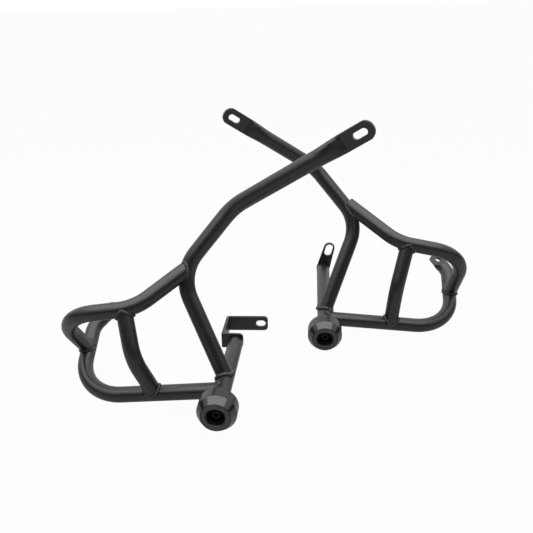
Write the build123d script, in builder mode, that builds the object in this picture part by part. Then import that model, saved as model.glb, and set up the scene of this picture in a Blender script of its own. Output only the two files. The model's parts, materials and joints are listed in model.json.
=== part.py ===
from build123d import *
from dataclasses import dataclass
from math import cos, radians, sin, tan
import os

# Tube stock, cold drawn steel, bent on one former but for the two bends of the lower hoop
tube_od = 22.0
tube_wall = 2.0
bend_radius = 60.0
hoop_bend_radius = 73.0
hoop_tip_bend_radius = 35.0
weld_gap = 0.25

# Pressed tube ends: the round tube is squeezed flat over a short neck
press_gap = 0.4
neck_steps = 4
neck_steepness = 1.7
arm_press_width = 25.2
arm_press_length = 41.5
arm_press_neck = 42.0
arm_slot_width = 9.5
arm_slot_length = 19.5
arm_slot_setback = 18.3
arm_tip_radius = 12.0
hoop_press_width = 29.0
hoop_press_length = 20.5
hoop_press_neck = 9.0
hoop_hole_dia = 10.5
hoop_hole_setback = 10.5
hoop_tip_radius = 9.0

# Slider and its fixing
slider_dia = 52.0
slider_face_dia = 39.5
slider_length = 31.0
slider_nose = 20.0
slider_nose_bulge = 2.6
slider_bore_dia = 24.0
slider_socket_depth = 10.0
slider_web = 4.0
slider_bore_depth = slider_length - slider_socket_depth - slider_web
slider_edge = 1.5
bolt_dia = 8.0
bolt_clearance = 0.25
bolt_head_dia = 13.0
bolt_head_height = 8.0
bolt_chamfer = 0.8
bolt_socket_size = 6.0
bolt_socket_depth = 4.0
bolt_length = 28.0
washer_dia = 21.0
washer_thickness = 1.6
plug_length = 24.0
seat_gap = 0.1
fit_clearance = 0.15
length_tolerance = 0.01

# Left bracket, a strip folded to a channel that opens towards the bar's rear
strip_thickness = 4.0
strip_height = 22.6
strip_bend_radius = 5.0
bracket_rise = 2.4
bracket_front_reach = 11.0
bracket_side_offset = 21.0
bracket_depth = 59.5
bracket_back_length = 63.2
bracket_back_angle = 3.4
bracket_corner_radius = 6.0
bracket_slot_width = 11.0
bracket_slot_length = 15.0
bracket_slot_setback = 10.8

# Right tab, a tapered plate with a long slot
tab_thickness = 4.0
tab_base_width = 23.0
tab_tip_width = 18.5
tab_slot_distance = 37.2
tab_slot_width = 12.5
tab_slot_length = 22.5
tab_tip_distance = 50.6
tab_lean = 14.0


@dataclass
class Bar:
    """One bar: hand is -1 on the left and 1 on the right, which sends its hoops that way.

    Nodes are given as (forward, inward, up) from the outer end of the cross tube.
    """

    name: str
    hand: int
    place: tuple
    turn: float
    arm: tuple
    upper_hoop: tuple
    lower_hoop: tuple
    brace_knee: tuple
    cross_start: tuple
    cross_end: tuple
    arm_seat: float
    hoop_seat: float
    hoop_joint: float
    brace_top: float
    brace_foot: float

    def plane(self):
        heading = radians(self.turn)
        return Plane(origin=self.place, x_dir=(cos(heading), sin(heading), 0))

    def at(self, node):
        forward, inward, up = node
        return self.plane().from_local_coords(Vector(self.hand * forward, inward, up))

    def axis(self):
        """The plane at the slider's face, with its z direction along the cross tube."""
        start = self.at(self.cross_start)
        end = self.at(self.cross_end)
        return Plane(origin=start, x_dir=self.plane().x_dir, z_dir=end - start)

    def cross_length(self):
        return (self.at(self.cross_end) - self.at(self.cross_start)).length

    def along(self, distance):
        """A point on the cross tube's centreline."""
        axis = self.axis()
        return axis.origin + axis.z_dir * distance


def route(points, radius):
    """The centreline of a tube: straight runs joined by arcs, of one radius or of one for each bend."""
    with BuildLine() as line:
        if len(points) > 2:
            FilletPolyline(*points, radius=radius)
        else:
            Line(points[0], points[1])
    return line.line.wires()[0]


def rod_along(path, dia):
    """A solid rod along a centreline."""
    with BuildPart() as rod:
        with BuildSketch(Plane(origin=path @ 0, z_dir=path % 0)):
            Circle(dia / 2)
        sweep(path=path)
    return rod.part


def tube_along(path):
    """A hollow tube along a centreline."""
    with BuildPart() as tube:
        with BuildSketch(Plane(origin=path @ 0, z_dir=path % 0)):
            Circle(tube_od / 2)
            Circle(tube_od / 2 - tube_wall, mode=Mode.SUBTRACT)
        sweep(path=path)
    return tube.part


def neck(plane, length, width):
    """The blend from round to flat along the plane's z direction."""
    flat_height = 2 * tube_wall + press_gap
    with BuildPart() as blend:
        for step in range(neck_steps + 1):
            share = step / neck_steps
            ease = share * share * (3 - 2 * share)
            squeeze = share**neck_steepness
            half_width = tube_od / 2 + (width - tube_od) / 2 * ease
            half_height = tube_od / 2 + (flat_height - tube_od) / 2 * squeeze
            corner = radians(45 + 40 * squeeze)
            x = half_width - half_height * (1 - cos(corner))
            y = half_height * sin(corner)
            with BuildSketch(plane.offset(length * share)):
                with BuildLine():
                    ThreePointArc((-x, y), (0, half_height), (x, y))
                    ThreePointArc((x, y), (half_width, 0), (x, -y))
                    ThreePointArc((x, -y), (0, -half_height), (-x, -y))
                    ThreePointArc((-x, -y), (-half_width, 0), (-x, y))
                make_face()
        loft()
    return blend.part


def hollow_neck(plane, length, width):
    """The hollow inside a neck, closing to a thin slit where the walls meet."""
    with BuildPart() as hollow:
        with BuildSketch(plane):
            Circle(tube_od / 2 - tube_wall)
        with BuildSketch(plane.offset(length)):
            Ellipse(width / 2 - tube_wall, press_gap)
        loft(ruled=True)
    return hollow.part


def pressed_end(start, direction, facing, width, length, neck_length, slot, setback, tip_radius):
    """A tube end pressed flat, its tip's corners cut round, and pierced by a slot or a round hole."""
    along = direction.normalized()
    across = along.cross(facing).normalized()
    plane = Plane(origin=start, x_dir=across, z_dir=along)
    outer = neck(plane, neck_length, width)
    hollow = hollow_neck(plane, neck_length, width)
    slot_width, slot_length = slot
    with BuildPart() as end:
        add(outer)
        with BuildSketch(plane.offset(neck_length)):
            SlotOverall(width, 2 * tube_wall + press_gap)
        extrude(amount=length)
        add(hollow, mode=Mode.SUBTRACT)
        tip = plane.offset(neck_length + length)
        face = Plane(origin=tip.origin, x_dir=-along, z_dir=across.cross(along))
        with BuildSketch(face):
            Rectangle(length, 2 * width, align=(Align.MIN, Align.CENTER))
            RectangleRounded(
                2 * length,
                width,
                tip_radius,
                align=(Align.MIN, Align.CENTER),
                mode=Mode.SUBTRACT,
            )
        extrude(amount=tube_od, both=True, mode=Mode.SUBTRACT)
        with BuildSketch(face):
            with Locations((setback, 0)):
                if slot_length > slot_width:
                    SlotOverall(slot_length, slot_width)
                else:
                    Circle(slot_width / 2)
        extrude(amount=tube_od, both=True, mode=Mode.SUBTRACT)
    return end.part


def keep(bar, name, part):
    part.label = f"{bar.name}_{name}"
    export_step(part, f"parts/{bar.name}_{name}.step")


def make_slider(bar):
    """The puck, turned about the cross tube's centreline, with its counterbore and tube socket."""
    axis = bar.axis()
    profile = Plane(origin=axis.origin, x_dir=axis.x_dir, z_dir=axis.x_dir.cross(axis.z_dir))
    face_r = slider_face_dia / 2
    full_r = slider_dia / 2
    middle = ((face_r + full_r) / 2 + slider_nose_bulge, slider_nose / 2 - slider_nose_bulge / 2)
    with BuildPart() as puck:
        with BuildSketch(profile):
            with BuildLine():
                Polyline((0, 0), (face_r, 0))
                ThreePointArc((face_r, 0), middle, (full_r, slider_nose))
                Polyline(
                    (full_r, slider_nose),
                    (full_r, slider_length - slider_edge),
                    (full_r - slider_edge, slider_length),
                    (0, slider_length),
                    (0, 0),
                )
            make_face()
        revolve(axis=Axis(axis.origin, axis.z_dir))
        with BuildSketch(axis):
            Circle(slider_bore_dia / 2)
        extrude(amount=slider_bore_depth, mode=Mode.SUBTRACT)
        with BuildSketch(axis.offset(slider_length)):
            Circle(tube_od / 2 + fit_clearance)
        extrude(amount=-slider_socket_depth, mode=Mode.SUBTRACT)
        with BuildSketch(axis):
            Circle(bolt_dia / 2 + bolt_clearance)
        extrude(amount=slider_length, mode=Mode.SUBTRACT)
    keep(bar, "slider_puck", puck.part)


def make_slider_fixing(bar):
    """Washer, socket head screw and the threaded plug in the tube's end."""
    axis = bar.axis()
    washer_top = slider_bore_depth - seat_gap - washer_thickness
    head_seat = washer_top - seat_gap
    tube_start = slider_length - slider_socket_depth + seat_gap
    with BuildPart() as washer:
        with BuildSketch(axis.offset(washer_top)):
            Circle(washer_dia / 2)
            Circle(bolt_dia / 2 + bolt_clearance, mode=Mode.SUBTRACT)
        extrude(amount=washer_thickness)
    keep(bar, "slider_washer", washer.part)

    with BuildPart() as bolt:
        with BuildSketch(axis.offset(head_seat)):
            Circle(bolt_head_dia / 2)
        extrude(amount=-bolt_head_height)
        head_rim = bolt.edges().filter_by(GeomType.CIRCLE).sort_by(Axis(axis.origin, axis.z_dir))[0]
        chamfer(head_rim, bolt_chamfer)
        with BuildSketch(axis.offset(head_seat)):
            Circle(bolt_dia / 2)
        extrude(amount=bolt_length)
        with BuildSketch(axis.offset(head_seat - bolt_head_height)):
            RegularPolygon(bolt_socket_size / 2, 6, major_radius=False)
        extrude(amount=bolt_socket_depth, mode=Mode.SUBTRACT)
    keep(bar, "slider_bolt", bolt.part)

    with BuildPart() as plug:
        with BuildSketch(axis.offset(tube_start)):
            Circle(tube_od / 2 - tube_wall - fit_clearance)
            Circle(bolt_dia / 2 + fit_clearance, mode=Mode.SUBTRACT)
        extrude(amount=plug_length)
    keep(bar, "slider_plug", plug.part)


def make_tubes(bar):
    """The five tubes, each coped where it meets the one that carries it."""
    tube_start = slider_length - slider_socket_depth + seat_gap
    cross_path = route([bar.along(tube_start), bar.along(bar.cross_length())], bend_radius)
    cope_dia = tube_od + 2 * weld_gap
    cross_rod = rod_along(cross_path, cope_dia)
    with BuildPart() as cross:
        add(tube_along(cross_path))
    keep(bar, "cross_tube", cross.part)

    hoop_nodes = [bar.along(bar.hoop_seat)] + [bar.at(node) for node in bar.lower_hoop]
    hoop_aim = (hoop_nodes[-1] - hoop_nodes[-2]).normalized()
    hoop_round_end = hoop_nodes[-1] - hoop_aim * (hoop_press_length - hoop_hole_setback + hoop_press_neck)
    lower_path = route(hoop_nodes[:-1] + [hoop_round_end], [hoop_bend_radius, hoop_tip_bend_radius])
    lower_rod = rod_along(lower_path, cope_dia)
    lower_end = pressed_end(
        hoop_round_end,
        hoop_aim,
        Vector(0, 0, 1),
        hoop_press_width,
        hoop_press_length,
        hoop_press_neck,
        (hoop_hole_dia, hoop_hole_dia),
        hoop_hole_setback,
        hoop_tip_radius,
    )
    with BuildPart() as lower:
        add(tube_along(lower_path))
        add(lower_end)
        add(cross_rod, mode=Mode.SUBTRACT)
    keep(bar, "lower_hoop", lower.part)

    arm_nodes = [bar.at(node) for node in bar.arm] + [bar.along(bar.arm_seat)]
    arm_aim = (arm_nodes[0] - arm_nodes[1]).normalized()
    arm_round_end = arm_nodes[0] - arm_aim * (arm_press_length - arm_slot_setback + arm_press_neck)
    arm_path = route([arm_round_end] + arm_nodes[1:], bend_radius)
    arm_rod = rod_along(arm_path, cope_dia)
    arm_end = pressed_end(
        arm_round_end,
        arm_aim,
        bar.plane().y_dir,
        arm_press_width,
        arm_press_length,
        arm_press_neck,
        (arm_slot_width, arm_slot_length),
        arm_slot_setback,
        arm_tip_radius,
    )
    with BuildPart() as arm:
        add(tube_along(arm_path))
        add(arm_end)
        add(cross_rod, mode=Mode.SUBTRACT)
        add(lower_rod, mode=Mode.SUBTRACT)
    keep(bar, "arm_tube", arm.part)

    upper_nodes = [bar.at(node) for node in bar.upper_hoop] + [lower_path @ bar.hoop_joint]
    upper_path = route(upper_nodes, bend_radius)
    upper_rod = rod_along(upper_path, cope_dia)
    with BuildPart() as upper:
        add(tube_along(upper_path))
        add(arm_rod, mode=Mode.SUBTRACT)
        add(lower_rod, mode=Mode.SUBTRACT)
    keep(bar, "upper_hoop", upper.part)

    brace_nodes = [upper_path @ bar.brace_top, bar.at(bar.brace_knee), lower_path @ bar.brace_foot]
    brace_path = route(brace_nodes, bend_radius)
    with BuildPart() as brace:
        add(tube_along(brace_path))
        add(upper_rod, mode=Mode.SUBTRACT)
        add(lower_rod, mode=Mode.SUBTRACT)
    keep(bar, "brace_strut", brace.part)


def make_bracket(bar):
    """The folded bracket on the inner end of the left bar's cross tube."""
    axis = bar.axis()
    end = bar.along(bar.cross_length() + weld_gap)
    bed = Plane(origin=end, x_dir=axis.x_dir, z_dir=axis.x_dir.cross(axis.z_dir))
    side = -bracket_side_offset
    tilt = radians(bracket_back_angle)
    back_aim = Vector(cos(tilt), sin(tilt), 0)
    back_normal = Vector(-sin(tilt), cos(tilt), 0)
    back_start = Vector(side, bracket_depth, 0)
    back_end = back_start + back_aim * bracket_back_length
    inner_side = side + strip_thickness
    inner_depth = bracket_depth - strip_thickness * (1 / cos(tilt) - tan(tilt))
    with BuildPart() as bracket:
        with BuildSketch(bed.offset(bracket_rise - strip_height / 2)) as folded:
            with BuildLine():
                Polyline(
                    (bracket_front_reach, 0),
                    (side, 0),
                    back_start,
                    back_end,
                    back_end - back_normal * strip_thickness,
                    (inner_side, inner_depth),
                    (inner_side, strip_thickness),
                    (bracket_front_reach, strip_thickness),
                    close=True,
                )
            make_face()
            outer_folds = folded.vertices().group_by(Axis(bed.origin, bed.x_dir))[0]
            fillet(outer_folds, strip_bend_radius)
        extrude(amount=strip_height)
        back = Plane(
            origin=bed.from_local_coords(back_end + Vector(0, 0, bracket_rise)),
            x_dir=bed.from_local_coords(back_start - back_end) - bed.origin,
            z_dir=bed.from_local_coords(back_normal) - bed.origin,
        )
        with BuildSketch(back):
            with Locations((bracket_slot_setback, 0)):
                SlotOverall(bracket_slot_length, bracket_slot_width)
        extrude(amount=-2 * strip_thickness, mode=Mode.SUBTRACT)
        front_edges = bracket.edges().filter_by(Axis(bed.origin, bed.y_dir))
        back_edges = bracket.edges().filter_by(Axis(back.origin, back.z_dir))
        leaf_edges = front_edges + back_edges
        tips = [edge for edge in leaf_edges if abs(edge.length - strip_thickness) < length_tolerance]
        fillet(tips, bracket_corner_radius)
    keep(bar, "mounting_bracket", bracket.part)


def make_tab(bar):
    """The slotted plate on the inner end of the right bar's cross tube."""
    end = bar.along(bar.cross_length() + weld_gap)
    axis = bar.axis()
    lean = radians(tab_lean)
    up = axis.y_dir if axis.y_dir.Z > 0 else -axis.y_dir
    aim = up * cos(lean) + axis.x_dir * sin(lean)
    face = Plane(origin=end, x_dir=aim, z_dir=axis.z_dir)
    tip_r = tab_tip_width / 2
    base_r = tab_base_width / 2
    with BuildPart() as tab:
        with BuildSketch(face):
            Circle(base_r)
            with Locations((tab_tip_distance - tip_r, 0)):
                Circle(tip_r)
            with BuildLine():
                Polyline(
                    (0, -base_r),
                    (tab_tip_distance - tip_r, -tip_r),
                    (tab_tip_distance - tip_r, tip_r),
                    (0, base_r),
                    close=True,
                )
            make_face()
            with Locations((tab_slot_distance, 0)):
                SlotOverall(tab_slot_length, tab_slot_width, mode=Mode.SUBTRACT)
        extrude(amount=tab_thickness)
    keep(bar, "mounting_tab", tab.part)


os.makedirs("parts", exist_ok=True)

left_bar = Bar(
    name="left",
    hand=-1,
    place=(-94.9, -228.2, -0.46),
    turn=-7.4,
    arm=((-166, 111, 362), (-6.5, 160, 258), (64, 131, 173)),
    upper_hoop=((45, 136, 186), (116, 84, 142), (228, 94, 122)),
    lower_hoop=((210, 89, 3), (216.3, 205.4, 55.9), (195, 235.5, 73)),
    brace_knee=(117, 60, 80),
    cross_start=(1.2, 1.2, 33.5),
    cross_end=(0, 198, 40.7),
    arm_seat=94.0,
    hoop_seat=65.0,
    hoop_joint=0.814,
    brace_top=0.371,
    brace_foot=0.286,
)
right_bar = Bar(
    name="right",
    hand=1,
    place=(65.1, -4.2, -0.46),
    turn=-5.8,
    arm=((-140, 106, 341.6), (-20, 162, 256), (52, 136, 173)),
    upper_hoop=((36, 143, 199.5), (112, 94, 153), (221, 103, 129)),
    lower_hoop=((208, 98, 5.5), (214.2, 211.8, 59.8), (200.2, 234.9, 73)),
    brace_knee=(111, 69, 82),
    cross_start=(0.9, 0.0, 28.2),
    cross_end=(0, 229, 57.5),
    arm_seat=80.5,
    hoop_seat=62.5,
    hoop_joint=0.818,
    brace_top=0.381,
    brace_foot=0.332,
)

for bar in (left_bar, right_bar):
    make_slider(bar)
    make_slider_fixing(bar)
    make_tubes(bar)
make_bracket(left_bar)
make_tab(right_bar)
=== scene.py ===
"""Looks for a left and right pair of tubular steel crash bars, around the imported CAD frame."""

import json
import logging
import math
from dataclasses import dataclass, field
from enum import Enum, IntEnum

import bmesh
import bpy
from mathutils import Matrix, Vector
from mathutils.bvhtree import BVHTree

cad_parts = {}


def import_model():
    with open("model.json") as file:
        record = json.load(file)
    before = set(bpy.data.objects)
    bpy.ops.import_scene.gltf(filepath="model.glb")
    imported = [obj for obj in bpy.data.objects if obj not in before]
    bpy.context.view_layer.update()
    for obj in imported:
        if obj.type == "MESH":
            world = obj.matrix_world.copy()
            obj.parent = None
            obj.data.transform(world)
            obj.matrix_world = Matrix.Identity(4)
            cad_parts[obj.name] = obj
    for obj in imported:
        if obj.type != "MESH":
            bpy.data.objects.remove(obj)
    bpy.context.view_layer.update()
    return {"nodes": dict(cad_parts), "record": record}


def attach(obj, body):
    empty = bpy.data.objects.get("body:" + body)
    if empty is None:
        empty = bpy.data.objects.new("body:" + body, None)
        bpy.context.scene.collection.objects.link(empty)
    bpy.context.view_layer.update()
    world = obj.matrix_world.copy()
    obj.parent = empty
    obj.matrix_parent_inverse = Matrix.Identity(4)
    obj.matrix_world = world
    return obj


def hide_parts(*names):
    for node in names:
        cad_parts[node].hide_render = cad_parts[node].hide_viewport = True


LOG = logging.getLogger("crash_bars")
MM = 0.001
JOIN_MM = 0.01

Triple = tuple[float, float, float]
Nodes = dict[str, bpy.types.Object]


class Side(Enum):
    """Which bar of the pair a piece belongs to."""

    LEFT = "left"
    RIGHT = "right"


class Slot(Enum):
    """The record's material slots."""

    COAT = "coated_steel"
    PLASTIC = "slider_plastic"
    STEEL = "bare_steel"


class Zone(IntEnum):
    """The finishes of a slider, as the material index of its faces."""

    BODY = 0
    NOSE = 1
    RING = 2


def linear(code: str) -> tuple[float, float, float, float]:
    """Turn an sRGB hex code into linear colour.

    Args:
        code: six hex digits, with or without a leading hash.

    Returns:
        Red, green, blue and an alpha of 1.
    """
    digits = code.lstrip("#")
    shares = [int(digits[i : i + 2], 16) / 255 for i in (0, 2, 4)]
    r, g, b = (v / 12.92 if v <= 0.04045 else ((v + 0.055) / 1.055) ** 2.4 for v in shares)
    return (r, g, b, 1.0)


def grey(shade: float) -> tuple[float, float, float, float]:
    """Return a neutral colour from 0 for black to 1 for white."""
    return (shade, shade, shade, 1.0)


class NodeBench:
    """Adds and links nodes in one node tree."""

    def __init__(self, tree: bpy.types.NodeTree) -> None:
        """Start from an emptied tree.

        Args:
            tree: the node tree to build in.
        """
        tree.nodes.clear()
        self.tree = tree

    def add(self, kind: str, **values: object) -> bpy.types.Node:
        """Add a node and set its inputs or its properties by name.

        Args:
            kind: the node's type name.
            values: property names, or input names with their spaces as underscores.

        Returns:
            The new node.
        """
        node = self.tree.nodes.new(kind)
        for key, value in values.items():
            if hasattr(node, key):
                setattr(node, key, value)
            else:
                node.inputs[key.replace("_", " ")].default_value = value
        return node

    def link(self, source: bpy.types.NodeSocket, target: bpy.types.NodeSocket) -> None:
        """Link one socket to another."""
        self.tree.links.new(source, target)

    def join(self, operation: str, *sources: bpy.types.NodeSocket | float) -> bpy.types.NodeSocket:
        """Join two values by a Math node.

        Args:
            operation: the Math node's operation.
            sources: sockets or constants, one for each input.

        Returns:
            The socket that gives the result.
        """
        node = self.add("ShaderNodeMath", operation=operation)
        for number, source in enumerate(sources):
            if isinstance(source, bpy.types.NodeSocket):
                self.link(source, node.inputs[number])
            else:
                node.inputs[number].default_value = source
        return node.outputs["Value"]


@dataclass(frozen=True)
class Finish:
    """A surface finish whose colour, gloss and relief vary over real distances.

    Attributes:
        name: the material's name.
        colour: main colour as an sRGB hex code.
        patch_colour: the colour of faint uneven patches.
        roughness: lowest and highest roughness.
        metallic: 0 for paint and plastic, 1 for bare metal.
        grain_mm: size of the fine relief.
        grain_depth_mm: depth of the fine relief.
        patch_mm: size of the uneven patches.
        specular: specular level of the surface.
        patch_span: the noise values between which one colour turns into the other.
        patch_noise: detail and roughness of the patches' noise.
        grain_noise: detail and roughness of the relief's noise.
    """

    name: str
    colour: str
    patch_colour: str
    roughness: tuple[float, float]
    metallic: float
    grain_mm: float
    grain_depth_mm: float
    patch_mm: float
    specular: float = 0.5
    patch_span: tuple[float, float] = (0.35, 0.75)
    patch_noise: tuple[float, float] = (3.0, 0.55)
    grain_noise: tuple[float, float] = (2.0, 0.5)

    def material(self) -> bpy.types.Material:
        """Build the finish as a node material.

        Returns:
            The new material.
        """
        made = bpy.data.materials.new(self.name)
        made.use_nodes = True
        bench = NodeBench(made.node_tree)
        place = bench.add("ShaderNodeTexCoord")
        patches = self.noise(bench, place, self.patch_mm, self.patch_noise)
        grain = self.noise(bench, place, self.grain_mm, self.grain_noise)
        ramp = bench.add("ShaderNodeValToRGB")
        for stop, position, colour in zip(
            ramp.color_ramp.elements, self.patch_span, (self.colour, self.patch_colour)
        ):
            stop.position = position
            stop.color = linear(colour)
        bench.link(patches, ramp.inputs["Fac"])
        gloss = bench.add("ShaderNodeMapRange", To_Min=self.roughness[0], To_Max=self.roughness[1])
        bench.link(patches, gloss.inputs["Value"])
        relief = bench.add("ShaderNodeBump", Strength=1.0, Distance=self.grain_depth_mm * MM)
        bench.link(grain, relief.inputs["Height"])
        shader = bench.add(
            "ShaderNodeBsdfPrincipled", Metallic=self.metallic, Specular_IOR_Level=self.specular
        )
        bench.link(ramp.outputs["Color"], shader.inputs["Base Color"])
        bench.link(gloss.outputs["Result"], shader.inputs["Roughness"])
        bench.link(relief.outputs["Normal"], shader.inputs["Normal"])
        out = bench.add("ShaderNodeOutputMaterial")
        bench.link(shader.outputs["BSDF"], out.inputs["Surface"])
        return made

    @staticmethod
    def noise(
        bench: NodeBench, place: bpy.types.Node, size_mm: float, shape: tuple[float, float]
    ) -> bpy.types.NodeSocket:
        """Add a noise of a real size on Object coordinates.

        Args:
            bench: the node tree's bench.
            place: the Texture Coordinate node.
            size_mm: the size of the noise's features.
            shape: its detail and roughness.

        Returns:
            The socket that gives the noise.
        """
        detail, roughness = shape
        scale = 1 / (size_mm * MM)
        texture = bench.add("ShaderNodeTexNoise", Scale=scale, Detail=detail, Roughness=roughness)
        bench.link(place.outputs["Object"], texture.inputs["Vector"])
        return texture.outputs["Fac"]


# Powder coat, sprayed dry on steel and baked: a warm near black with a satin sheen, so each
# tube shows a soft bright band. Its orange peel is finer than this, and is drawn at 0.9 mm to show.
POWDER_COAT = Finish("powder_coat", "#181815", "#1c1c19", (0.33, 0.38), 0.0, 0.9, 0.004, 24.0)
# The same coat over weld beads: it runs thin on the ripples, which are a little paler and shinier.
WELD_COAT = Finish("weld_coat", "#1a1a17", "#1e1e1b", (0.28, 0.34), 0.0, 1.4, 0.03, 9.0)
# Nylon, moulded in a fine eroded tool: an even, satin black. The grain is too fine to be seen singly.
MOULDED_PLASTIC = Finish("moulded_plastic", "#151514", "#191918", (0.28, 0.34), 0.0, 0.35, 0.004, 18.0)
# The same nylon, turned smooth on the cone: the clear white highlight at the top of the nose.
TURNED_NOSE = Finish("turned_nose", "#1a1a18", "#1e1e1c", (0.16, 0.20), 0.0, 0.35, 0.002, 18.0, 0.65)
# The same nylon with a coarse moulded grain: a dull, dusty olive ring round the bore.
GRAINED_RING = Finish("grained_ring", "#262521", "#555045", (0.45, 0.60), 0.0, 0.6, 0.08, 1.3)
# Black oxide on turned steel, as on cap screws: dark metal with a grey glint on its edges.
BLACK_OXIDE = Finish("black_oxide", "#1c1c1d", "#242425", (0.30, 0.40), 1.0, 0.5, 0.004, 6.0)

FINISHES: dict[Slot, Finish] = {
    Slot.COAT: POWDER_COAT,
    Slot.PLASTIC: MOULDED_PLASTIC,
    Slot.STEEL: BLACK_OXIDE,
}
SLIDER_FINISHES: dict[Zone, Finish] = {
    Zone.BODY: MOULDED_PLASTIC,
    Zone.NOSE: TURNED_NOSE,
    Zone.RING: GRAINED_RING,
}


@dataclass
class Dresser:
    """Keeps the built materials and puts them on CAD nodes and new pieces."""

    materials: dict[str, bpy.types.Material] = field(default_factory=dict)

    def material(self, finish: Finish) -> bpy.types.Material:
        """Return the material of a finish, built on first use."""
        if finish.name not in self.materials:
            self.materials[finish.name] = finish.material()
        return self.materials[finish.name]

    def dress(self, piece: bpy.types.Object, *finishes: Finish) -> None:
        """Give a piece its material or materials, before its faces get their index.

        Args:
            piece: a mesh object.
            finishes: one finish for each material index of its faces.
        """
        piece.data.materials.clear()
        for finish in finishes:
            piece.data.materials.append(self.material(finish))

    def dress_frame(self, nodes: Nodes, record: dict) -> None:
        """Give every CAD node the material of its own slot.

        Args:
            nodes: the frame's CAD nodes by name.
            record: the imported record.
        """
        slots = {part["node"]: Slot(part["material_slot"]) for part in record["subparts"]}
        for name, node in nodes.items():
            self.dress(node, FINISHES[slots[name]])

    def finish_piece(
        self, name: str, mesh: bmesh.types.BMesh, finishes: list[Finish], sharp_deg: float
    ) -> bpy.types.Object:
        """Turn a bmesh into a smooth piece that rides on the frame.

        Args:
            name: the piece's name.
            mesh: the finished bmesh, which is freed.
            finishes: one finish for each material index.
            sharp_deg: edges that turn more than this stay crisp.

        Returns:
            The new object.
        """
        bmesh.ops.recalc_face_normals(mesh, faces=mesh.faces)
        piece = new_object(name)
        self.dress(piece, *finishes)
        mesh.to_mesh(piece.data)
        mesh.free()
        piece.data.shade_smooth()
        piece.data.set_sharp_from_angle(angle=math.radians(sharp_deg))
        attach(piece, "root")
        return piece


def new_object(name: str) -> bpy.types.Object:
    """Add an object with an empty mesh to the scene, at the origin.

    Args:
        name: the object's and the mesh's name.

    Returns:
        The new object.
    """
    made = bpy.data.objects.new(name, bpy.data.meshes.new(name))
    bpy.context.scene.collection.objects.link(made)
    return made


def merged(node: bpy.types.Object) -> bmesh.types.BMesh:
    """Copy a CAD node's mesh and join its loose triangles.

    Args:
        node: a CAD node.

    Returns:
        A bmesh that the caller frees.
    """
    mesh = bmesh.new()
    mesh.from_mesh(node.data)
    bmesh.ops.remove_doubles(mesh, verts=mesh.verts, dist=JOIN_MM * MM)
    return mesh


def corners(node: bpy.types.Object) -> list[Vector]:
    """Return the places of a CAD node's vertices, each once."""
    mesh = merged(node)
    places = [vert.co.copy() for vert in mesh.verts]
    mesh.free()
    return places


def middle(places: list[Vector]) -> Vector:
    """Return the mean of some places."""
    return sum(places, Vector()) / len(places)


def run_length(run: list[Vector]) -> float:
    """Return the length of a run of points."""
    return sum((b - a).length for a, b in zip(run, run[1:]))


def edge_runs(edges: list[bmesh.types.BMEdge]) -> list[list[Vector]]:
    """Walk linked edges into runs of points.

    Args:
        edges: edges of one bmesh, whose vertices have up-to-date indices.

    Returns:
        Runs of points, longest first; a closed loop repeats its first point.
    """
    links: dict[int, list[int]] = {}
    places: dict[int, Vector] = {}
    for edge in edges:
        first, second = edge.verts
        for here, there in ((first, second), (second, first)):
            links.setdefault(here.index, []).append(there.index)
            places[here.index] = here.co.copy()
    left = set(links)
    runs = []
    while left:
        ends = [index for index in left if len(links[index]) != 2]
        start = min(ends) if ends else min(left)
        chain = [start]
        while chain[-1] in left:
            left.discard(chain[-1])
            following = next((index for index in links[chain[-1]] if index in left), None)
            if following is not None:
                chain.append(following)
        if not ends and len(chain) > 2:
            chain.append(start)
        runs.append([places[index] for index in chain])
    return sorted(runs, key=run_length, reverse=True)


@dataclass(frozen=True)
class Weld:
    """A fillet weld where one coped tube end meets the piece that carries it.

    Attributes:
        coped: the tube whose end is cut to fit.
        carrier: the tube that it is welded to.
        size: the bead's size against the usual one.
    """

    coped: str
    carrier: str
    size: float = 1.0


@dataclass(frozen=True)
class CutEnd:
    """A tube whose lip round its carrier is cut away along a plane, as the photograph shows it.

    Attributes:
        side: which bar.
        weld: the joint.
        point_mm: a point of the plane.
        normal: the plane's normal, towards the side that goes.
        plane_reach_mm: how near the plane a vertex counts as on it.
        sharp_deg: edges that turn more than this stay crisp.
    """

    side: Side
    weld: Weld
    point_mm: Triple
    normal: Triple
    plane_reach_mm: float = 0.001
    sharp_deg: float = 25.0

    def build(self, nodes: Nodes, dresser: Dresser) -> tuple[tuple[Side, Weld], list[Vector]]:
        """Copy the tube without its lip.

        Args:
            nodes: the frame's CAD nodes by name.
            dresser: gives the material.

        Returns:
            The joint and the rim of the cut.
        """
        name = f"{self.side.value}_{self.weld.coped}"
        mesh = merged(nodes[name])
        cut = bmesh.ops.bisect_plane(
            mesh,
            geom=[*mesh.verts, *mesh.edges, *mesh.faces],
            dist=self.plane_reach_mm * MM,
            plane_co=Vector(self.point_mm) * MM,
            plane_no=Vector(self.normal),
            clear_outer=True,
        )
        edges = [item for item in cut["geom_cut"] if isinstance(item, bmesh.types.BMEdge)]
        mesh.verts.index_update()
        rim = edge_runs(edges)[0]
        bmesh.ops.triangle_fill(mesh, edges=edges, use_beauty=True)
        piece = dresser.finish_piece(f"{name}_cut", mesh, [POWDER_COAT], self.sharp_deg)
        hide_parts(name)
        return (self.side, self.weld), rim


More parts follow.
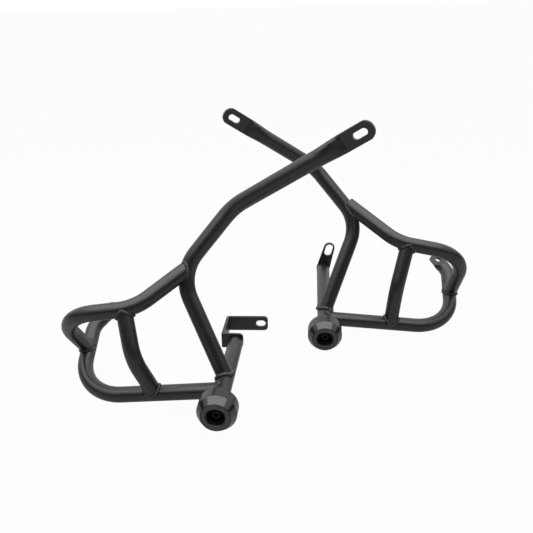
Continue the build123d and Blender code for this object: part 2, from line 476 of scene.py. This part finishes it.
@dataclass
class WeldBeads:
    """All the weld beads of one bar, laid as rows of overlapping ripples.

    Attributes:
        side: which bar.
        welds: the joints to weld.
        pitch_mm: distance from ripple to ripple, and half a ripple's length.
        width_mm: half the bead's width.
        height_mm: half the bead's height.
        unevenness: the share by which one ripple differs from the next.
        wander: two angles, in radians for each ripple, that make the unevenness wander.
        reach_mm: how near the carrier's skin a coped edge lies.
        sharp_deg: least angle of a coped edge.
        ball_steps: how finely each ripple is divided.
    """

    side: Side
    welds: tuple[Weld, ...]
    pitch_mm: float = 2.2
    width_mm: float = 2.7
    height_mm: float = 2.4
    unevenness: float = 0.12
    wander: tuple[float, float] = (2.4, 0.7)
    reach_mm: float = 0.45
    sharp_deg: float = 25.0
    ball_steps: int = 2

    def coped_edge(self, coped: bpy.types.Object, carrier: bpy.types.Object) -> list[Vector]:
        """Find the longest sharp edge on a tube end that lies against its carrier.

        Args:
            coped: the tube whose end is cut to fit.
            carrier: the tube that it is welded to.

        Returns:
            The points of the edge, or nothing where none lies near enough.
        """
        skin = merged(carrier)
        tree = BVHTree.FromBMesh(skin)
        reach, sharp = self.reach_mm * MM, math.radians(self.sharp_deg)
        mesh = merged(coped)
        near = {vert.index for vert in mesh.verts if tree.find_nearest(vert.co, reach)[0] is not None}
        edges = [
            edge
            for edge in mesh.edges
            if all(vert.index in near for vert in edge.verts)
            and len(edge.link_faces) == 2
            and edge.calc_face_angle(0.0) > sharp
        ]
        runs = edge_runs(edges)
        skin.free()
        mesh.free()
        return runs[0] if runs else []

    def ripples(self, run: list[Vector]) -> list[tuple[Vector, Vector]]:
        """Space points evenly along a run.

        Args:
            run: the points of a coped edge.

        Returns:
            Each ripple's place and its direction of travel.
        """
        total = run_length(run)
        count = max(2, round(total / (self.pitch_mm * MM)))
        spaced = []
        walked, index = 0.0, 0
        for number in range(count):
            target = total * (number + 0.5) / count
            while index < len(run) - 2 and walked + (run[index + 1] - run[index]).length < target:
                walked += (run[index + 1] - run[index]).length
                index += 1
            step = run[index + 1] - run[index]
            spaced.append((run[index] + step.normalized() * (target - walked), step.normalized()))
        return spaced

    def bead(self, run: list[Vector], size: float) -> bmesh.types.BMesh:
        """Lay one bead of ripples along a run.

        Args:
            run: the points of a coped edge.
            size: the bead's size against the usual one.

        Returns:
            The bead's bmesh.
        """
        mesh = bmesh.new()
        fast, slow = self.wander
        for number, (place, travel) in enumerate(self.ripples(run)):
            turn = travel.to_track_quat("X", "Z").to_matrix().to_4x4()
            wobble = math.sin(fast * number) * math.cos(slow * number)
            swell = size * MM * (1.0 + self.unevenness * wobble)
            radii = (self.pitch_mm * swell, self.width_mm * swell, self.height_mm * swell, 1.0)
            matrix = Matrix.Translation(place) @ turn @ Matrix.Diagonal(radii)
            bmesh.ops.create_icosphere(mesh, subdivisions=self.ball_steps, radius=1.0, matrix=matrix)
        return mesh

    def build(
        self, nodes: Nodes, dresser: Dresser, rims: dict[tuple[Side, Weld], list[Vector]]
    ) -> list[bpy.types.Object]:
        """Lay every bead of this bar.

        Args:
            nodes: the frame's CAD nodes by name.
            dresser: gives the material.
            rims: the rims of tubes that were cut shorter, by joint.

        Returns:
            The new pieces.
        """
        made = []
        for weld in self.welds:
            coped, carrier = (nodes[f"{self.side.value}_{part}"] for part in (weld.coped, weld.carrier))
            run = rims.get((self.side, weld)) or self.coped_edge(coped, carrier)
            if not run:
                LOG.warning("no coped edge between %s and %s", coped.name, carrier.name)
                continue
            name = f"{self.side.value}_weld_{weld.coped}_to_{weld.carrier}"
            bead = self.bead(run, weld.size)
            made.append(dresser.finish_piece(name, bead, [WELD_COAT], 180.0))
            LOG.info("%s: %.1f mm long", name, run_length(run) / MM)
        return made


HOOP_TO_ARM = Weld("upper_hoop", "arm_tube")
WELDS = (
    Weld("arm_tube", "cross_tube", 1.5),
    Weld("lower_hoop", "cross_tube"),
    HOOP_TO_ARM,
    Weld("upper_hoop", "lower_hoop"),
    Weld("brace_strut", "upper_hoop"),
    Weld("brace_strut", "lower_hoop"),
)
CUT_ENDS = (CutEnd(Side.LEFT, HOOP_TO_ARM, (-137.71, -95.5, 173.16), (0.7848, 0.5858, -0.2022)),)


@dataclass(frozen=True)
class Slider:
    """A turned slider with a crisp cone to its nose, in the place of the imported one.

    Attributes:
        side: which bar it sits on.
        length_mm: length over all.
        full_mm: outer radius.
        face_radius_mm: radius of the flat face.
        nose_mm: length of the cone behind the face.
        ring_mm: inner and outer radius of the grained ring on the face.
        groove_mm: depth of the fine grooves beside the ring.
        bore_mm: radius and depth of the counterbore.
        socket_mm: radius and depth of the tube's socket.
        bolt_mm: radius of the bolt's hole.
        edge_mm: size of the broken edges.
        rear_edge_mm: size of the broken edge at the rear.
        steps: facets round the axis.
        sharp_deg: edges that turn more than this stay crisp.
    """

    side: Side
    length_mm: float = 31.0
    full_mm: float = 26.0
    face_radius_mm: float = 19.75
    nose_mm: float = 10.5
    ring_mm: tuple[float, float] = (13.2, 18.8)
    groove_mm: float = 0.35
    bore_mm: tuple[float, float] = (12.0, 17.0)
    socket_mm: tuple[float, float] = (11.15, 10.0)
    bolt_mm: float = 4.25
    edge_mm: float = 0.5
    rear_edge_mm: float = 1.5
    steps: int = 128
    sharp_deg: float = 12.0

    def profile(self) -> list[tuple[float, float, Zone]]:
        """List the turned outline as radius, depth and the zone of the next stretch."""
        inner, outer = self.ring_mm
        groove, edge = self.groove_mm, self.edge_mm
        bore, depth = self.bore_mm
        socket, socket_depth = self.socket_mm
        rear, web = self.length_mm, self.length_mm - socket_depth
        return [
            (bore, edge, Zone.BODY),
            (bore + edge, 0.0, Zone.BODY),
            (inner - groove, 0.0, Zone.BODY),
            (inner, groove, Zone.RING),
            (inner + groove, 0.0, Zone.RING),
            (outer - groove, 0.0, Zone.RING),
            (outer, groove, Zone.BODY),
            (outer + groove, 0.0, Zone.BODY),
            (self.face_radius_mm - edge / 2, 0.0, Zone.BODY),
            (self.face_radius_mm + edge / 4, edge / 2, Zone.NOSE),
            (self.full_mm - edge / 4, self.nose_mm - edge / 2, Zone.NOSE),
            (self.full_mm, self.nose_mm + edge / 4, Zone.BODY),
            (self.full_mm, rear - self.rear_edge_mm, Zone.BODY),
            (self.full_mm - self.rear_edge_mm, rear, Zone.BODY),
            (socket, rear, Zone.BODY),
            (socket, web, Zone.BODY),
            (self.bolt_mm, web, Zone.BODY),
            (self.bolt_mm, depth, Zone.BODY),
            (bore, depth, Zone.NOSE),
        ]

    def seat(self, nodes: Nodes) -> Matrix:
        """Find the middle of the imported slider's face, with Z along the cross tube.

        Args:
            nodes: the frame's CAD nodes by name.

        Returns:
            The matrix from the slider's own place to the frame.
        """
        washer, plug, puck = (
            corners(nodes[f"{self.side.value}_{part}"])
            for part in ("slider_washer", "slider_plug", "slider_puck")
        )
        on_axis = middle(washer)
        axis = (middle(plug) - on_axis).normalized()
        face = on_axis + axis * min((place - on_axis).dot(axis) for place in puck)
        return Matrix.Translation(face) @ axis.to_track_quat("Z", "X").to_matrix().to_4x4()

    def build(self, nodes: Nodes, dresser: Dresser) -> bpy.types.Object:
        """Turn the outline round the slider's axis.

        Args:
            nodes: the frame's CAD nodes by name.
            dresser: gives the materials.

        Returns:
            The new piece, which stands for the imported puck.
        """
        outline = self.profile()
        mesh = bmesh.new()
        for start, end in zip(outline, outline[1:] + outline[:1]):
            ends = [mesh.verts.new((radius * MM, 0.0, depth * MM)) for radius, depth, _ in (start, end)]
            known = set(mesh.faces)
            bmesh.ops.spin(
                mesh,
                geom=[*ends, mesh.edges.new(ends)],
                cent=(0.0, 0.0, 0.0),
                axis=(0.0, 0.0, 1.0),
                angle=math.tau,
                steps=self.steps,
                use_merge=True,
            )
            for face in set(mesh.faces) - known:
                face.material_index = start[2]
        bmesh.ops.remove_doubles(mesh, verts=mesh.verts, dist=JOIN_MM * MM)
        bmesh.ops.transform(mesh, matrix=self.seat(nodes), verts=mesh.verts)
        name = f"{self.side.value}_slider_body"
        finishes = [SLIDER_FINISHES[zone] for zone in Zone]
        piece = dresser.finish_piece(name, mesh, finishes, self.sharp_deg)
        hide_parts(f"{self.side.value}_slider_puck")
        return piece


@dataclass(frozen=True)
class Softbox:
    """A rectangular studio lamp that points at one spot.

    Attributes:
        name: the lamp's name.
        place_m: where it stands.
        aim_m: what it points at.
        size_m: width and height.
        watts: its power.
    """

    name: str
    place_m: Triple
    aim_m: Triple
    size_m: tuple[float, float]
    watts: float

    def build(self) -> bpy.types.Object:
        """Hang the lamp.

        Returns:
            The lamp object.
        """
        data = bpy.data.lights.new(self.name, "AREA")
        data.shape = "RECTANGLE"
        data.size, data.size_y = self.size_m
        data.energy = self.watts
        lamp = bpy.data.objects.new(self.name, data)
        lamp.location = self.place_m
        aim = Vector(self.aim_m) - Vector(self.place_m)
        lamp.rotation_euler = aim.to_track_quat("-Z", "Y").to_euler()
        bpy.context.scene.collection.objects.link(lamp)
        return lamp


def lay_sheet(name: str, matrix: Matrix) -> bpy.types.Object:
    """Lay a flat square, two metres wide before its matrix, that isn't part of the object.

    Args:
        name: the sheet's and its material's name.
        matrix: its place and size.

    Returns:
        The sheet, with an empty node material.
    """
    sheet = new_object(name)
    mesh = bmesh.new()
    bmesh.ops.create_grid(mesh, x_segments=1, y_segments=1, size=1.0, matrix=matrix)
    mesh.to_mesh(sheet.data)
    mesh.free()
    made = bpy.data.materials.new(name)
    made.use_nodes = True
    sheet.data.materials.append(made)
    return sheet


@dataclass(frozen=True)
class Flag:
    """A black card that stands round the set and darkens what the gloss reflects.

    Attributes:
        name: the card's name.
        place_m: where it stands.
        aim_m: what it faces.
        size_m: width and height.
        shade: its grey, from 0 for black to 1 for white.
    """

    name: str
    place_m: Triple
    aim_m: Triple
    size_m: tuple[float, float]
    shade: float = 0.03

    def build(self) -> bpy.types.Object:
        """Stand the card up, out of the camera's sight.

        Returns:
            The card object.
        """
        aim = Vector(self.aim_m) - Vector(self.place_m)
        facing = aim.to_track_quat("-Z", "Y").to_matrix().to_4x4()
        size = Matrix.Diagonal((self.size_m[0] / 2, self.size_m[1] / 2, 1.0, 1.0))
        card = lay_sheet(self.name, Matrix.Translation(self.place_m) @ facing @ size)
        bench = NodeBench(card.data.materials[0].node_tree)
        paint = bench.add("ShaderNodeBsdfDiffuse", Color=grey(self.shade))
        out = bench.add("ShaderNodeOutputMaterial")
        bench.link(paint.outputs["BSDF"], out.inputs["Surface"])
        card.visible_camera = False
        card.visible_shadow = False
        return card


@dataclass
class Studio:
    """White floor and sky, a ceiling lamp, black cards and the camera at the photograph's viewpoint.

    Attributes:
        floor_size_m: width of the floor.
        floor_white: how much of the floor's look is plain white to camera and glass.
        floor_gloss: how much of it is plain white to gloss; the rest is paint with the shadow.
        floor_paint: the grey of the floor's paint.
        ambient: strength of the sky's light.
        camera_place_mm: where the camera stands.
        pitch_deg: how far it looks down.
        roll_deg: how far it is rolled clockwise.
        focal_px: focal length in pixels of the photograph.
        frame_px: width and height of the photograph.
        centre_px: where the camera's axis meets the photograph.
        sensor_mm: width of the sensor.
        far_m: how far the camera sees.
        lamps: the lamps.
        flags: the black cards.
    """

    floor_size_m: float = 40.0
    floor_white: float = 0.97
    floor_gloss: float = 0.3
    floor_paint: float = 0.4
    ambient: float = 0.3
    camera_place_mm: Triple = (-62.7, -1009.0, 522.88)
    pitch_deg: float = 23.29
    roll_deg: float = 1.42
    focal_px: float = 737.2
    frame_px: float = 533.0
    centre_px: tuple[float, float] = (239.3, 303.8)
    sensor_mm: float = 36.0
    far_m: float = 100.0
    lamps: tuple[Softbox, ...] = (
        Softbox("ceiling_softbox", (-0.25, -0.4, 1.9), (-0.25, -0.4, 0.0), (3.7, 2.8), 80.0),
    )
    flags: tuple[Flag, ...] = (
        Flag("front_flag", (0.0, -2.3, 0.95), (0.0, 0.0, 0.95), (6.0, 1.9)),
        Flag("left_flag", (-2.4, -0.4, 0.45), (0.0, -0.4, 0.45), (3.0, 0.9)),
        Flag("right_flag", (2.4, -0.4, 0.4), (0.0, -0.4, 0.4), (3.0, 0.8)),
    )

    @staticmethod
    def mix(bench: NodeBench, *sources: bpy.types.NodeSocket) -> bpy.types.NodeSocket:
        """Mix two shaders by a share.

        Args:
            bench: the node tree's bench.
            sources: the share of the second shader, the first shader and the second one.

        Returns:
            The mixed shader's socket.
        """
        mixer = bench.add("ShaderNodeMixShader")
        for number, source in enumerate(sources):
            bench.link(source, mixer.inputs[number])
        return mixer.outputs["Shader"]

    def build_world(self) -> None:
        """Light the scene evenly and show plain white to camera, gloss and glass."""
        world = bpy.data.worlds.new("studio_world")
        bpy.context.scene.world = world
        world.use_nodes = True
        bench = NodeBench(world.node_tree)
        rays = bench.add("ShaderNodeLightPath").outputs
        seen = bench.join("MAXIMUM", rays["Is Camera Ray"], rays["Is Transmission Ray"])
        seen = bench.join("MAXIMUM", seen, rays["Is Glossy Ray"])
        dim, white = (
            bench.add("ShaderNodeBackground", Color=grey(1.0), Strength=strength).outputs["Background"]
            for strength in (self.ambient, 1.0)
        )
        out = bench.add("ShaderNodeOutputWorld")
        bench.link(self.mix(bench, seen, dim, white), out.inputs["Surface"])

    def build_floor(self) -> bpy.types.Object:
        """Lay the white floor, which keeps a faint shadow of the bars.

        Returns:
            The floor object.
        """
        half = self.floor_size_m / 2
        floor = lay_sheet("floor", Matrix.Diagonal((half, half, 1.0, 1.0)))
        bench = NodeBench(floor.data.materials[0].node_tree)
        rays = bench.add("ShaderNodeLightPath").outputs
        seen = bench.join("MAXIMUM", rays["Is Camera Ray"], rays["Is Transmission Ray"])
        share = bench.join("MULTIPLY", seen, self.floor_white)
        gloss = bench.join("MULTIPLY", rays["Is Glossy Ray"], self.floor_gloss)
        white = bench.join("MAXIMUM", share, gloss)
        paint = bench.add("ShaderNodeBsdfDiffuse", Color=grey(self.floor_paint)).outputs["BSDF"]
        glow = bench.add("ShaderNodeEmission", Color=grey(1.0), Strength=1.0).outputs["Emission"]
        out = bench.add("ShaderNodeOutputMaterial")
        bench.link(self.mix(bench, white, paint, glow), out.inputs["Surface"])
        return floor

    def build_camera(self) -> bpy.types.Object:
        """Stand the camera where the photograph was taken.

        Returns:
            The camera object.
        """
        data = bpy.data.cameras.new("photo_camera")
        data.sensor_width = self.sensor_mm
        data.lens = self.focal_px / self.frame_px * self.sensor_mm
        data.shift_x = 0.5 - self.centre_px[0] / self.frame_px
        data.shift_y = self.centre_px[1] / self.frame_px - 0.5
        data.clip_end = self.far_m
        camera = bpy.data.objects.new("photo_camera", data)
        tilt = Matrix.Rotation(math.radians(90 - self.pitch_deg), 4, "X")
        roll = Matrix.Rotation(-math.radians(self.roll_deg), 4, "Z")
        camera.matrix_world = Matrix.Translation(Vector(self.camera_place_mm) * MM) @ tilt @ roll
        bpy.context.scene.collection.objects.link(camera)
        bpy.context.scene.camera = camera
        return camera

    def build(self) -> None:
        """Build the world, the floor, the lamps and the camera."""
        self.build_world()
        self.build_floor()
        for item in (*self.lamps, *self.flags):
            item.build()
        self.build_camera()


def main() -> None:
    """Dress the frame, add the trim and set the studio."""
    logging.basicConfig(level=logging.INFO, format="%(name)s: %(message)s")
    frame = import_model()
    nodes = frame["nodes"]
    dresser = Dresser()
    dresser.dress_frame(nodes, frame["record"])
    rims = dict(end.build(nodes, dresser) for end in CUT_ENDS)
    for side in Side:
        for piece in WeldBeads(side, WELDS).build(nodes, dresser, rims):
            LOG.info("built %s", piece.name)
    for side in Side:
        LOG.info("built %s", Slider(side).build(nodes, dresser).name)
    Studio().build()
    bpy.context.scene.view_settings.view_transform = "Standard"


if __name__ == "__main__":
    main()
